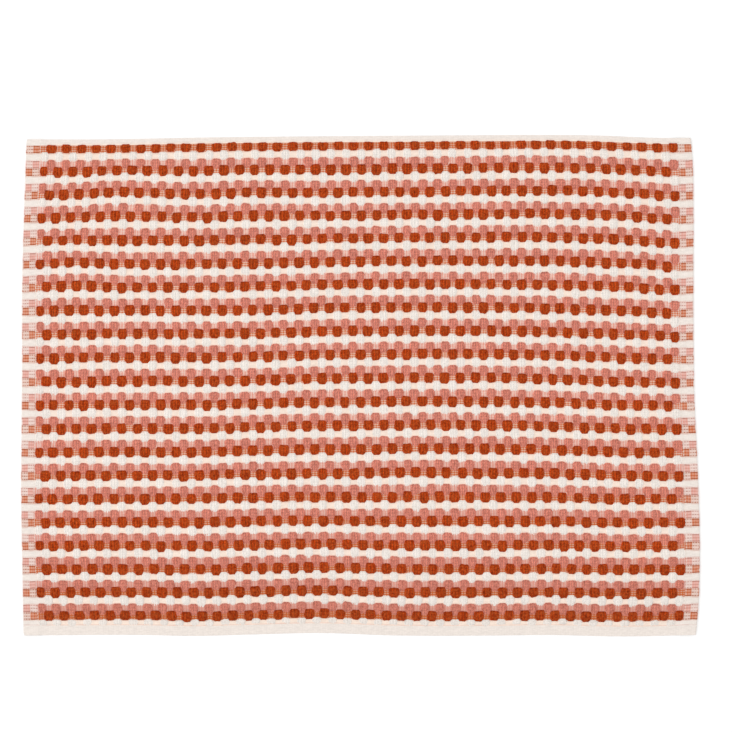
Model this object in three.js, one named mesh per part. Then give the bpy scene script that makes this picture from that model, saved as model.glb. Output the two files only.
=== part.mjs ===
// Tea towel in block terry, laid out flat.
// It is one woven length of cotton. The long sides are its flat selvedges, and the short ends
// are turned under and hemmed, so the hems and selvedges are part of the same cloth.
// Millimetres. X runs along the length, Y across the width and Z up. The underside lies at Z = 0.

import * as THREE from 'three';

// Size of the cloth as it lies, between its mean edges
const LENGTH = 688;
const WIDTH = 510;

// Thickness of each kind of cloth in it
const TERRY_THICKNESS = 4.0; // ground weave with blocks of loops on both faces
const HEM_THICKNESS = 2.4; // flat weave, doubled
const SELVEDGE_THICKNESS = 1.2; // flat weave, single
const EDGE_THICKNESS = 0.8; // at the last threads of a hem or selvedge

// Width of the flat bands, and of the slope from a band up to the terry
const HEM_WIDTH = 15;
const FAR_SELVEDGE_WIDTH = 5.5;
const NEAR_SELVEDGE_WIDTH = 10;
const SLOPE_WIDTH = 4;
const EDGE_ROUNDING = 1.5;

// Steps of the grid across the terry
const STEPS_ALONG = 44;
const STEPS_ACROSS = 32;

// How far each edge lies outside the mean rectangle. `at` is the place along the edge.
const LEFT_EDGE = [
  { at: -255, out: 0 },
  { at: -200, out: 1 },
  { at: -110, out: 2.5 },
  { at: -40, out: 2 },
  { at: 35, out: 1.5 },
  { at: 100, out: 1.5 },
  { at: 195, out: -1 },
  { at: 255, out: -3 },
];
const RIGHT_EDGE = [
  { at: -255, out: -1.5 },
  { at: -220, out: 1.5 },
  { at: -165, out: 2.5 },
  { at: -115, out: 1.5 },
  { at: -65, out: -0.5 },
  { at: -15, out: -3 },
  { at: 60, out: -4 },
  { at: 190, out: -4 },
  { at: 225, out: -4.5 },
  { at: 255, out: -6.5 },
];
const NEAR_EDGE = [
  { at: -344, out: 0 },
  { at: -225, out: -0.5 },
  { at: -170, out: 0.5 },
  { at: -110, out: -1 },
  { at: -40, out: -2.5 },
  { at: 35, out: 0 },
  { at: 150, out: 0 },
  { at: 190, out: -0.5 },
  { at: 270, out: 1 },
  { at: 344, out: -0.5 },
];
const FAR_EDGE = [
  { at: -344, out: -3.5 },
  { at: -265, out: -3.5 },
  { at: -155, out: -1.5 },
  { at: -60, out: -0.5 },
  { at: 90, out: 0.5 },
  { at: 185, out: 1 },
  { at: 245, out: 0.5 },
  { at: 310, out: -2 },
  { at: 344, out: -2 },
];

// Soft swells and hollows where the cloth was smoothed out by hand
const SWELLS = [
  { x: -275, y: 170, reach: 70, lift: 0.3 },
  { x: -105, y: -5, reach: 45, lift: -0.3 },
  { x: -215, y: 60, reach: 80, lift: 0.2 },
  { x: 0, y: 120, reach: 90, lift: 0.2 },
  { x: 200, y: 130, reach: 60, lift: -0.3 },
  { x: 270, y: 20, reach: 60, lift: 0.25 },
  { x: 60, y: -110, reach: 90, lift: 0.2 },
  { x: -150, y: -160, reach: 70, lift: -0.2 },
  { x: 230, y: -180, reach: 70, lift: 0.25 },
];

const HALF_LENGTH = LENGTH / 2;
const HALF_WIDTH = WIDTH / 2;

function edgeCurve(rows) {
  // A smooth line through the rows of one edge, as a function of the place along it
  const places = rows.map((row) => row.at);
  const distances = rows.map((row) => row.out);
  const line = new THREE.CubicInterpolant(places, distances, 1);
  return (place) => line.evaluate(place)[0];
}

const leftOut = edgeCurve(LEFT_EDGE);
const rightOut = edgeCurve(RIGHT_EDGE);
const nearOut = edgeCurve(NEAR_EDGE);
const farOut = edgeCurve(FAR_EDGE);

function lieOnCloth(x, y) {
  // Moves a place on the mean rectangle to where the cloth lies between its uneven edges
  const alongShare = (x + HALF_LENGTH) / LENGTH;
  const acrossShare = (y + HALF_WIDTH) / WIDTH;
  return {
    x: x + THREE.MathUtils.lerp(-leftOut(y), rightOut(y), alongShare),
    y: y + THREE.MathUtils.lerp(-nearOut(x), farOut(x), acrossShare),
  };
}

function bandHeight(inset, bandWidth, bandThickness) {
  // Height near one edge: rounded at the last threads, flat over the band, then up to the terry
  const rounding = THREE.MathUtils.smoothstep(inset, 0, EDGE_ROUNDING);
  const band = THREE.MathUtils.lerp(EDGE_THICKNESS, bandThickness, rounding);
  const slope = THREE.MathUtils.smoothstep(inset, bandWidth - SLOPE_WIDTH / 2, bandWidth + SLOPE_WIDTH / 2);
  return THREE.MathUtils.lerp(band, TERRY_THICKNESS, slope);
}

function swellAt(x, y) {
  let lift = 0;
  for (const swell of SWELLS) {
    const distance = Math.hypot(x - swell.x, y - swell.y) / swell.reach;
    lift += swell.lift * Math.exp(-distance * distance);
  }
  return lift;
}

function topHeight(x, y) {
  const ends = bandHeight(HALF_LENGTH - Math.abs(x), HEM_WIDTH, HEM_THICKNESS);
  const selvedgeWidth = y > 0 ? FAR_SELVEDGE_WIDTH : NEAR_SELVEDGE_WIDTH;
  const sides = bandHeight(HALF_WIDTH - Math.abs(y), selvedgeWidth, SELVEDGE_THICKNESS);
  const height = Math.min(ends, sides);
  return height + swellAt(x, y) * (height / TERRY_THICKNESS);
}

function gridLines(half, lowBand, highBand, steps) {
  // Places of the grid lines: a few over each band and slope, and even steps over the terry
  const low = -half + lowBand + SLOPE_WIDTH / 2;
  const high = half - highBand - SLOPE_WIDTH / 2;
  const lines = [-half, -half + EDGE_ROUNDING, low - SLOPE_WIDTH];
  for (let k = 0; k <= steps; k++) {
    lines.push(THREE.MathUtils.lerp(low, high, k / steps));
  }
  lines.push(high + SLOPE_WIDTH, half - EDGE_ROUNDING, half);
  return lines;
}

function clothGeometry() {
  // A closed sheet: a flat underside, the uneven top and the thin wall around them
  const xs = gridLines(HALF_LENGTH, HEM_WIDTH, HEM_WIDTH, STEPS_ALONG);
  const ys = gridLines(HALF_WIDTH, NEAR_SELVEDGE_WIDTH, FAR_SELVEDGE_WIDTH, STEPS_ACROSS);
  const columns = xs.length;
  const rows = ys.length;
  const layer = columns * rows;
  const under = [];
  const top = [];
  for (const y of ys) {
    for (const x of xs) {
      const place = lieOnCloth(x, y);
      under.push(place.x, place.y, 0);
      top.push(place.x, place.y, topHeight(x, y));
    }
  }
  const triangles = [];
  for (let j = 0; j < rows - 1; j++) {
    for (let i = 0; i < columns - 1; i++) {
      const a = j * columns + i;
      const b = a + 1;
      const c = a + columns + 1;
      const d = a + columns;
      triangles.push(a, c, b, a, d, c);
      triangles.push(layer + a, layer + b, layer + c, layer + a, layer + c, layer + d);
    }
  }
  const rim = [];
  for (let i = 0; i < columns - 1; i++) rim.push(i);
  for (let j = 0; j < rows - 1; j++) rim.push(j * columns + columns - 1);
  for (let i = columns - 1; i > 0; i--) rim.push((rows - 1) * columns + i);
  for (let j = rows - 1; j > 0; j--) rim.push(j * columns);
  rim.forEach((from, k) => {
    const to = rim[(k + 1) % rim.length];
    triangles.push(from, to, layer + to, from, layer + to, layer + from);
  });
  const geometry = new THREE.BufferGeometry();
  geometry.setAttribute('position', new THREE.Float32BufferAttribute([...under, ...top], 3));
  geometry.setIndex(triangles);
  return geometry;
}

function centreOnOrigin(geometry) {
  // The origin is at the middle of the outline's box, on the surface below
  geometry.computeBoundingBox();
  const middle = geometry.boundingBox.getCenter(new THREE.Vector3());
  geometry.translate(-middle.x, -middle.y, 0);
  return geometry;
}

// Cotton terry: matt, with rust, pink and cream rows that read as a warm pink from far off
const cotton = new THREE.MeshStandardMaterial({
  color: 0xd19682,
  roughness: 0.95,
  metalness: 0,
});

const towel = new THREE.Mesh(centreOnOrigin(clothGeometry()), cotton);
towel.name = 'towel';

const group = new THREE.Group();
group.add(towel);

export default group;
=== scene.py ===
# Looks of a tea towel in block terry: rows of rust, cream and pink loop blocks on a flat weave.
# Everything is in metres in the model's own frame, with X along the length and Z up.
import math

import bpy
import numpy as np
from bpy.props import FloatProperty, FloatVectorProperty, IntProperty, PointerProperty
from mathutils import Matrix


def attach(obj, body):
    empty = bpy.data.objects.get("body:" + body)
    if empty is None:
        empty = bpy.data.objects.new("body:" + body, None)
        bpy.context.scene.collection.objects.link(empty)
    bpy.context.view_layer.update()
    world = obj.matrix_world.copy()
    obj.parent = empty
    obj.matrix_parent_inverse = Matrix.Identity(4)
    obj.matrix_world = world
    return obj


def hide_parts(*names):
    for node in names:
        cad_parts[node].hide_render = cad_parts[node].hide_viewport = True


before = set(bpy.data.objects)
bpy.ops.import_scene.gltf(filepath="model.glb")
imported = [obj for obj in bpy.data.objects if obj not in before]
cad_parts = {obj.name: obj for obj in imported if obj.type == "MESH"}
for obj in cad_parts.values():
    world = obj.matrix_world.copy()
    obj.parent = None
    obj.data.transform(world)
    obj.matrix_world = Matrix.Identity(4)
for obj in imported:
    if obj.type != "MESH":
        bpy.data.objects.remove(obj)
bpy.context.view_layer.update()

bl_info = {
    "name": "Block terry tea towel",
    "version": (1, 0, 0),
    "blender": (4, 5, 0),
    "location": "3D View > Sidebar > Tea towel",
    "description": "Weaves a tea towel with blocks of terry loops around the packed model",
    "category": "Object",
}

MM = 0.001
BODY = "root"
CLOTH_NODE = "towel"

# Mean rectangle of the cloth between its uneven edges, in mm
LENGTH = 688.0
WIDTH = 510.0

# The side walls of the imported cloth: the upward part of their normals is less than this, and their
# foot lies lower than this in mm. No edge strays further than this from straight, in mm, and
# rounding moves a share of its length by less than the slack.
WALL_NORMAL = 0.3
WALL_FOOT = 0.01
EDGE_STRAY = 12.0
SHARE_SLACK = 1e-6

# Kinds of row, in the order that they repeat from the far selvedge
ROW_KINDS = ("rust", "cream", "pink")

# Places where a hand has pushed the rows along the cloth: x, y, reach in x, reach in y, and how
# far up the rows went, in mm
PULLS = (
    (85, 10, 145, 145, 3.4),
    (-245, 195, 45, 40, 3.6),
    (-290, 120, 35, 40, 2.6),
    (185, 175, 110, 60, 1.4),
    (-235, 60, 90, 75, 1.8),
    (-150, -112, 40, 18, 1.0),
    (-25, -120, 60, 90, -1.2),
    (325, 150, 20, 100, -1.5),
    (150, -170, 90, 40, -0.8),
    (-115, 190, 40, 45, 1.2),
    (-190, 150, 25, 20, 0.8),
    (20, 100, 70, 55, 0.9),
    (-330, 110, 45, 110, 0.9),
    (50, -80, 50, 35, 1.1),
    (235, -10, 80, 110, -0.8),
    (335, 60, 30, 150, -1.0),
)

# The same for columns that were pushed sideways: how far to the right they went
DRAWS = (
    (-305, 240, 45, 30, 1.3),
    (-215, 150, 75, 35, -0.9),
    (70, 80, 250, 80, 0.75),
    (40, -125, 320, 50, -0.5),
    (255, -110, 80, 55, -1.0),
    (-310, -130, 45, 45, -0.9),
    (-250, -240, 220, 22, 1.9),
    (240, -200, 70, 35, -0.7),
    (270, 240, 60, 15, -0.9),
)

# Both fade out towards the edges, from this far inside and over this width, in mm
FADE_START = 6.0
FADE_WIDTH = 20.0
END_FADE_START = 2.0
END_FADE_WIDTH = 14.0

# The first columns are drawn towards the left hem, by this much over this reach, in mm
LEFT_DRAW = 2.3
LEFT_DRAW_REACH = 35.0
LEFT_DRAW_END = 640.0

# Low swells of the cloth as it lies: x, y, reach and lift, in mm
SWELLS = (
    (-275, 170, 70, 0.3),
    (-105, -5, 45, -0.3),
    (-215, 60, 80, 0.2),
    (0, 120, 90, 0.2),
    (200, 130, 60, -0.3),
    (270, 20, 60, 0.25),
    (60, -110, 90, 0.2),
    (-150, -160, 70, -0.2),
    (230, -180, 70, 0.25),
)

# How tightly the coloured weft is packed between the blocks, by row line: 0 is loose, 1 is full. The same
# share sets painted shade in the ground: darker where the weft is packed, and in the hems and selvedges,
# most at the near one.
PACKING_AND_SHADE = ((0, 0.55), (2.5, 0.06), (12, 0), (34, 0.06), (45, 0.45), (57, 0.72), (61, 1.0))

# The loops of the last rows towards the near selvedge are painted darker, as shade, from here to here in
# mm, and at the end by this share
SHADED_FROM = 150.0
SHADED_FULL = 235.0
SHADE_DEPTH = 0.35

# The seams that hold the hems: how far in from the fold, and one stitch of them, all in mm but for
# its turn and the places of its rings along it. The thread dips into the weave at both ends.
SEAM_INSET = 13.6
SEAM_MARGIN = 2.0
STITCH_PITCH = 3.4
STITCH_HALF = 1.35
STITCH_RISE = 0.12
STITCH_DIP = 0.35
STITCH_TURN = math.radians(5)
STITCH_RINGS = (-1.0, -0.55, 0.0, 0.55, 1.0)
THREAD_RADIUS = 0.22
THREAD_SIDES = 6

# Heights of the ground weave's middle above the table, and where the slopes up from the flat
# bands start and end, from the inner line of a band, all in mm
BODY_HEIGHT = 2.0
SELVEDGE_HEIGHT = 0.45
HEM_HEIGHT = 1.65
SELVEDGE_SLOPE = (-3.0, 4.0)
HEM_SLOPE = (-1.0, 5.0)

# The fold of a hem and the width of its columns, in mm, with the turns of the fold's grid lines in
# degrees and the number of lines in the turning
FOLD_RADIUS = 0.6
HEM_COLUMN = 7.0
FOLD_TURNS = (-60, -25, 25, 60)
TURNING_LINES = 6

# Grid lines near the selvedges, by their distance from the edge in mm. In the first two the cloth
# thins out to this share of its thickness.
THIN_LINES = ((0.0, 0.3), (0.4, 0.8))
FAR_LINES = (1.2, 3.2)
NEAR_LINES = (9.6, 7.6, 5.6, 3.6, 1.2)

# Soft puckers where the near selvedge meets the terry: how far from the edge they start, their
# height and how far they run out over the terry, in mm, and how much and how fast their places
# wander, in radians
PUCKER_START = 1.0
PUCKER_HEIGHT = 0.6
PUCKER_FADE = 4.0
PUCKER_WANDER = 1.3
PUCKER_RATE = 0.37

# A selvedge takes a narrow slice from the middle of a cream row
CREAM_SLICE = 0.4

# Where the ground lies on the bake map: start and size along the towel, and across it for the top
# and for the underside. A wall is drawn in a little, so that it keeps an area.
BAKE_ALONG = (0.005, 0.99)
BAKE_TOP = (0.40, 0.59)
BAKE_UNDER = (0.01, 0.37)
BAKE_WALL = 0.999

# The ground takes on the warmer cream that lies between the blocks over so many columns from a hem
WARMTH_COLUMNS = 3

# A block of each colour. The outline gives half of its width, and the crest its height over the middle of
# the ground, both in mm along the distance below the row's own line. The foot is the painted shade where
# the loops go into the ground: how light they are painted there, from 0, as dark as the deepest valley,
# to 1.
BLOCKS = {
    "rust": {
        "outline": (
            (-1.5, 3.6), (-0.8, 4.6), (0.1, 5.2), (5.2, 5.35), (6.8, 5.0), (8.3, 4.15), (9.65, 2.7)
        ),
        "crest": ((-1.5, 1.7), (0.1, 2.1), (4.0, 2.1), (7.0, 1.9), (9.65, 1.4)),
        "foot": 0.3,
    },
    "cream": {
        "outline": (
            (-1.1, 2.8), (0.1, 3.9), (1.2, 4.7), (2.5, 5.15), (5.8, 5.0), (7.4, 4.1), (9.9, 2.7)
        ),
        "crest": ((-1.1, 0.9), (1.3, 1.3), (4.3, 1.4), (7.1, 1.2), (9.9, 0.45)),
        "foot": 1.0,
    },
    "pink": {
        "outline": (
            (-0.9, 2.4), (-0.2, 3.7), (0.8, 4.6), (2.2, 4.9), (6.3, 4.85), (7.5, 4.1), (11.2, 3.5)
        ),
        "crest": ((-0.9, 1.4), (1.5, 1.95), (4.8, 1.95), (6.9, 1.5), (11.2, 0.6)),
        "foot": 0.5,
    },
}

# The wall of a block is this wide and goes down to this height, in mm. Its outermost ribs and its
# foot lie at these shares of the half width, and its sides start at this share of its height.
BLOCK_WALL = 0.5
BLOCK_BASE = -0.1
RIB_SPAN = 0.79
FOOT_SPAN = 0.97
BLOCK_SHOULDER = 0.45

# The blocks of the first and the last rust row have this share of the others' height, and the
# first ones lie this much lower, in mm
FIRST_SHARE = 0.84
LAST_SHARE = 0.94
FIRST_DROP = 0.45

# The blocks beside the left hem have this share of the others' width and height, and stand this
# much further from the hem, in mm
HEM_SHARES = (0.84, 0.94)
HEM_SHIFT = 0.5

# No loop of one side comes further through the middle of the ground than this, in mm
LOOP_FOOT = 0.1

# Points of a block's grid across and along. Every second one is the top of a loop.
FACE_GRID = (9, 11)
BACK_GRID = (9, 7)

# A block's cell of the bake map: where the block starts in it and its size, then the share of that
# which its base takes, and where its loops start and how much they take
CELL_START = 0.04
CELL_SIZE = 0.92
BASE_SHARE = 0.1
LOOPS_START = 0.13
LOOPS_SHARE = 0.86

# So many loops further on, the pattern of the loops is another one
LOOPS_APART = 10

# What is added to the seed for each colour, for the back and for the seams
COLOUR_SEED = 10
BACK_SEED = 5
SEAM_SEED = 50

# How each colour of terry is painted: the colour of its pale specks, which are partly fibre ends and
# partly painted highlights, how thickly they stand, and how strongly the mottling, the blocks' dye and
# the painted light and shade of loops, valleys and gaps differ
TERRY_FINISHES = {
    "rust": {"fibre_and_highlight_colour": "#e88040", "fibre_and_highlight_amount": 0.16, "contrast": 1.1},
    "cream": {"fibre_and_highlight_colour": "#ffffff", "fibre_and_highlight_amount": 0.06, "contrast": 0.3},
    "pink": {"fibre_and_highlight_colour": "#ffb0a0", "fibre_and_highlight_amount": 0.16, "contrast": 0.75},
}

# Sizes of the patterns in the cloth, in mm: the bends in the lines of the weave, thin patches,
# thick places of the weft yarn, twist and drawn fibres of the loops, fibre ends, and the plies and
# the worn places of the thread
BEND_SIZE = 9.0
PATCH_SIZE = 3.0
SLUB_SIZE = (4.0, 1.4, 4.0)
TWIST_SIZE = 1.1
DRAWN_SIZE = (1.6, 9.0, 9.0)
FIBRE_SIZE = 2.2
PLY_SIZE = 0.8
WORN_SIZE = 6.0

# How high the threads of the weave, the loops and the plies stand up in the light, in mm
WEAVE_RELIEF = 0.1
LOOP_RELIEF = 0.25
PLY_RELIEF = 0.05

# The photo looks straight down. Its frame is this many pixels wide, a pixel is this long on the
# cloth, and the middle of the frame lies this far from the middle of the towel, both in mm. The
# camera's sensor is this wide, in mm.
FRAME_PIXELS = 732
PIXEL_LENGTH = 1.0215
FRAME_MIDDLE = (5.6, 20.1)
SENSOR_WIDTH = 36.0

# The round soft box and its place, in metres
LAMP_SIZE = 2.4
LAMP_PLACE = (-3.4, 0.3, 3.2)


def linear(code):
    """An sRGB hex colour as the linear values that nodes take."""
    parts = [int(code[start : start + 2], 16) / 255 for start in (1, 3, 5)]
    return tuple(c / 12.92 if c <= 0.04045 else ((c + 0.055) / 1.055) ** 2.4 for c in parts)


def add(tree, kind, inputs=None, **settings):
    """Adds a node with its settings. inputs gives values, or sockets or nodes to link, by name or
    number. Of a node the first output is linked. In a Map Range node, inputs 1 and 2 are the range
    that comes in, and 3 and 4 the range that goes out."""
    node = tree.nodes.new(kind)
    for name, value in settings.items():
        setattr(node, name, value)
    for key, value in (inputs or {}).items():
        if isinstance(value, bpy.types.Node):
            value = value.outputs[0]
        if isinstance(value, bpy.types.NodeSocket):
            tree.links.new(value, node.inputs[key])
        else:
            node.inputs[key].default_value = value
    return node


def smoothstep(value, low, high):
    """0 below low and 1 above high, with a soft change in between."""
    share = np.clip((np.asarray(value, float) - low) / (high - low), 0, 1)
    return share * share * (3 - 2 * share)


def fineness(size):
    """The scale that gives a pattern this size, in mm."""
    return 1 / (size * MM)


def length(name, description, size):
    """A length that a user would change, with its default in mm."""
    return FloatProperty(name=name, description=description, default=size * MM, unit="LENGTH")


def dye(name, description, code):
    """A colour that a user would change, with its default as an sRGB hex colour."""
    return FloatVectorProperty(name=name, description=description, default=linear(code), subtype="COLOR")


def new_object(name, data):
    """Links a new object to the scene."""
    item = bpy.data.objects.new(name, data)
    bpy.context.scene.collection.objects.link(item)
    return item


def new_piece(name, mesh, material=None):
    """Links a finished mesh to the scene as a piece that rides on the towel's body."""
    piece = new_object(name, mesh)
    if material is not None:
        mesh.materials.clear()
        mesh.materials.append(material)
    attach(piece, BODY)
    return piece


def new_material(name, roughness, specular):
    """A material, its tree and its shader, with the values that are the same all over it."""
    material = bpy.data.materials.new(name)
    material.use_nodes = True
    tree = material.node_tree
    shader = tree.nodes["Principled BSDF"]
    shader.inputs["Roughness"].default_value = roughness
    shader.inputs["Specular IOR Level"].default_value = specular
    return material, tree, shader


def smooth_mesh(name, points, faces):
    """A mesh that is shaded smooth."""
    mesh = bpy.data.meshes.new(name)
    mesh.from_pydata(points, [], faces)
    mesh.update()
    mesh.polygons.foreach_set("use_smooth", np.ones(len(faces), bool))
    return mesh


def set_points(mesh, points):
    """Moves the points of a mesh."""
    mesh.vertices.foreach_set("co", np.asarray(points, np.float32).ravel())
    mesh.update()


def read(items, key, width=1, kind=np.float32):
    """What a collection of Blender's holds for each of its items, as an array."""
    values = np.zeros(len(items) * width, kind)
    items.foreach_get(key, values)
    return values.reshape(-1, width) if width > 1 else values


def get_points(mesh):
    """The points of a mesh, one to a row."""
    return read(mesh.vertices, "co", 3).astype(float)


def grid_corners(rows, columns):
    """A grid of points: the four corners of all faces, going round, and the points of its rim."""
    index = np.arange(rows * columns).reshape(rows, columns)
    corners = (index[:-1, :-1], index[:-1, 1:], index[1:, 1:], index[1:, :-1])
    rim = np.concatenate((index[0, :-1], index[:-1, -1], index[-1, :0:-1], index[:0:-1, 0]))
    return [corner.ravel() for corner in corners], rim


def mark_points(mesh, name, values):
    """Stores a number at each point of a mesh."""
    mark = mesh.attributes.new(name, "FLOAT", "POINT")
    mark.data.foreach_set("value", np.asarray(values, np.float32))


def new_map(mesh, name, places):
    """Adds a UV map, from the place of each corner of each face."""
    layer = mesh.uv_layers.new(name=name)
    layer.data.foreach_set("uv", np.asarray(places, np.float32).ravel())


def corner_points(mesh):
    """The number of the point at each corner of each face."""
    return read(mesh.loops, "vertex_index", kind=np.int32)


def new_tree(name, inputs):
    """A Geometry Nodes tree with these named inputs, each with its kind of socket."""
    tree = bpy.data.node_groups.new(name, "GeometryNodeTree")
    for title, kind in inputs.items():
        tree.interface.new_socket(title, in_out="INPUT", socket_type=f"NodeSocket{kind}")
    tree.interface.new_socket("Geometry", in_out="OUTPUT", socket_type="NodeSocketGeometry")
    return tree


def set_inputs(modifier, values):
    """Sets a Geometry Nodes modifier's inputs, given by name, through their identifiers."""
    sockets = {
        item.name: item.identifier
        for item in modifier.node_group.interface.items_tree
        if item.item_type == "SOCKET" and item.in_out == "INPUT"
    }
    for name, value in values.items():
        modifier[sockets[name]] = value


def repeated(tree, title, unit, places, values):
    """The plain mesh that a tree makes of a unit on the points of another mesh. title is the name
    of the tree's input for the unit."""
    unit = new_object("unit", unit)
    places = new_object("places", places)
    modifier = places.modifiers.new(tree.name, "NODES")
    modifier.node_group = tree
    set_inputs(modifier, {title: unit, **values})
    evaluated = places.evaluated_get(bpy.context.evaluated_depsgraph_get())
    mesh = bpy.data.meshes.new_from_object(evaluated)
    for helper in (places, unit):
        data = helper.data
        bpy.data.objects.remove(helper)
        bpy.data.meshes.remove(data)
    return mesh


# The settings that a user would change


class TowelLayout(bpy.types.PropertyGroup):
    """How the weave is laid out over the towel."""

    pile_columns: IntProperty(
        name="Pile columns", description="Columns of blocks between the hems", default=84, min=2
    )
    rows: IntProperty(name="Rows", description="Rows of blocks between the selvedges", default=62, min=3)
    left_hem: length("Left hem", "Width of the left hem", 14.1)
    right_hem: length("Right hem", "Width of the right hem", 15.5)
    far_selvedge: length("Far selvedge", "Width of the flat band along the far side", 6.4)
    near_selvedge: length("Near selvedge", "Width of the flat band along the near side", 10.4)
    last_row: length("Last row", "Height of the short row beside the near selvedge", 5.5)
    ground_thickness: length("Ground thickness", "Thickness of the weave that carries the loops", 0.8)
    hem_turning: length("Hem turning", "How far each hem is turned under", 14.0)


class TowelPile(bpy.types.PropertyGroup):
    """The blocks of terry loops."""

    scatter: length("Scatter", "How far a block may lie from its place", 0.45)
    turn: FloatProperty(
        name="Turn", description="How far a block may turn", default=math.radians(3.0), subtype="ANGLE"
    )
    size_spread: FloatProperty(
        name="Size spread", description="Share by which the blocks differ in size", default=0.07
    )
    unevenness: length("Unevenness", "How far the loops stray from the block's shape", 1.6)
    lump_size: length("Lump size", "Distance over which that straying changes", 3.5)
    rib_depth: length("Rib depth", "Depth of the valleys between the ribs of loops", 0.5)
    seed: IntProperty(name="Seed", description="Seed of all that is random", default=7)


class TowelYarns(bpy.types.PropertyGroup):
    """Colours of the dyed cotton."""

    rust: dye("Rust", "Rust loops", "#ae3803")
    pink: dye("Pink", "Pink loops", "#d27c69")
    cream: dye("Cream", "Cream loops", "#ece3db")
    ground: dye("Ground", "Cream of the hems and selvedges", "#e6dcd4")
    warp: dye("Warp", "Cream between the blocks", "#eddacb")
    rust_weft: dye("Rust weft", "Rust weft of the ground", "#c9642e")
    pink_weft: dye("Pink weft", "Pink weft of the ground", "#db8d7d")
    thread: dye("Thread", "Sewing thread of the hems", "#efe7dc")


class TowelStage(bpy.types.PropertyGroup):
    """Floor, light and camera."""

    floor_size: FloatProperty(
        name="Floor size", description="Side of the square floor", default=12.0, unit="LENGTH"
    )
    sky: FloatProperty(name="Sky", description="Strength of the even light from all round", default=1.04)
    lamp_power: FloatProperty(
        name="Lamp power", description="Power of the soft box", default=38.0, unit="POWER"
    )
    camera_height: FloatProperty(
        name="Camera height", description="Height of the camera", default=3.0, unit="LENGTH"
    )


# Where everything lies


def edge_lines():
    """The four edges of the CAD cloth: each edge's place as a function of the share along it."""
    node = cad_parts[CLOTH_NODE]
    rim = set()
    for face in node.data.polygons:
        if abs(face.normal.z) < WALL_NORMAL:
            rim.update(face.vertices)
    places = np.array([node.data.vertices[i].co for i in sorted(rim)], float) / MM
    places = np.unique(np.round(places[places[:, 2] < WALL_FOOT][:, :2], 4), axis=0)
    corner = {}
    for way in ((-1, -1), (-1, 1), (1, -1), (1, 1)):
        corner[way] = places[np.argmax(places @ np.array(way, float))]
    lines = {}
    for name, first, last, axis in (
        ("near", corner[-1, -1], corner[1, -1], 0),
        ("far", corner[-1, 1], corner[1, 1], 0),
        ("left", corner[-1, -1], corner[-1, 1], 1),
        ("right", corner[1, -1], corner[1, 1], 1),
    ):
        share = (places[:, axis] - first[axis]) / (last[axis] - first[axis])
        side = first[1 - axis] + share * (last[1 - axis] - first[1 - axis])
        between = (share > -SHARE_SLACK) & (share < 1 + SHARE_SLACK)
        on = (np.abs(places[:, 1 - axis] - side) < EDGE_STRAY) & between
        order = np.argsort(share[on])
        lines[name] = (share[on][order], places[on][:, 1 - axis][order])
    return lines


EDGES = edge_lines()


def lattice_x(layout, u):
    """Place along the mean rectangle, in mm, of column line u. The hems hold two columns each."""
    columns = layout.pile_columns
    left = layout.left_hem / MM
    right = layout.right_hem / MM
    x = np.interp(
        u, (-2, 0, columns, columns + 2), (-LENGTH / 2, left - LENGTH / 2, LENGTH / 2 - right, LENGTH / 2)
    )
    inset = np.clip(x + LENGTH / 2 - left, 0, LEFT_DRAW_END)
    return x - LEFT_DRAW * (1 - np.exp(-inset / LEFT_DRAW_REACH)) * (1 - inset / LEFT_DRAW_END)


def lattice_y(layout, v):
    """Place across the mean rectangle, in mm, of row line v, from the far edge down."""
    rows = layout.rows
    first = WIDTH / 2 - layout.far_selvedge / MM
    last = layout.near_selvedge / MM - WIDTH / 2
    return np.interp(
        v,
        (-1, 0, rows - 1, rows, rows + 1),
        (WIDTH / 2, first, last + layout.last_row / MM, last, -WIDTH / 2),
    )


def pushed(spots, x, y):
    """How far a hand has pushed the cloth at places on the mean rectangle, in mm."""
    distance = np.zeros_like(x)
    for spot_x, spot_y, reach_x, reach_y, push in spots:
        distance += push * np.exp(-(((x - spot_x) / reach_x) ** 2) - ((y - spot_y) / reach_y) ** 2)
    return distance


def spread_out(x, y):
    """Moves places on the mean rectangle to where the cloth lies, between its uneven edges."""
    along = (x + LENGTH / 2) / LENGTH
    across = (y + WIDTH / 2) / WIDTH
    left = np.interp(across, *EDGES["left"])
    right = np.interp(across, *EDGES["right"])
    near = np.interp(along, *EDGES["near"])
    far = np.interp(along, *EDGES["far"])
    pulled = pushed(PULLS, x, y) * smoothstep(WIDTH / 2 - np.abs(y), FADE_START, FADE_START + FADE_WIDTH)
    end_fade = smoothstep(LENGTH / 2 - np.abs(x), END_FADE_START, END_FADE_START + END_FADE_WIDTH)
    drawn = pushed(DRAWS, x, y) * end_fade
    return left + (right - left) * along + drawn, near + (far - near) * across + pulled


def ground_height(layout, x, y):
    """Height of the ground's middle above the table, in mm, at places on the mean rectangle."""
    band = np.where(y > 0, layout.far_selvedge / MM, layout.near_selvedge / MM)
    inset = WIDTH / 2 - np.abs(y)
    rise = smoothstep(inset, band + SELVEDGE_SLOPE[0], band + SELVEDGE_SLOPE[1])
    side = SELVEDGE_HEIGHT + (BODY_HEIGHT - SELVEDGE_HEIGHT) * rise
    hem = np.where(x < 0, layout.left_hem / MM, layout.right_hem / MM)
    inside = smoothstep(LENGTH / 2 - np.abs(x), hem + HEM_SLOPE[0], hem + HEM_SLOPE[1])
    swell = np.zeros_like(x)
    for sx, sy, reach, lift in SWELLS:
        swell += lift * np.exp(-((np.hypot(x - sx, y - sy) / reach) ** 2))
    return HEM_HEIGHT + (side - HEM_HEIGHT) * inside + swell * inside * side / BODY_HEIGHT


def lay_down(layout, points):
    """Lays points (x, y, height over the ground's middle, in mm) on the cloth, in metres."""
    x, y, height = np.asarray(points, float).T
    lying_x, lying_y = spread_out(x, y)
    lying_z = np.maximum(ground_height(layout, x, y) + height, 0)
    return np.stack((lying_x, lying_y, lying_z), axis=1) * MM


# Ground weave


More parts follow.
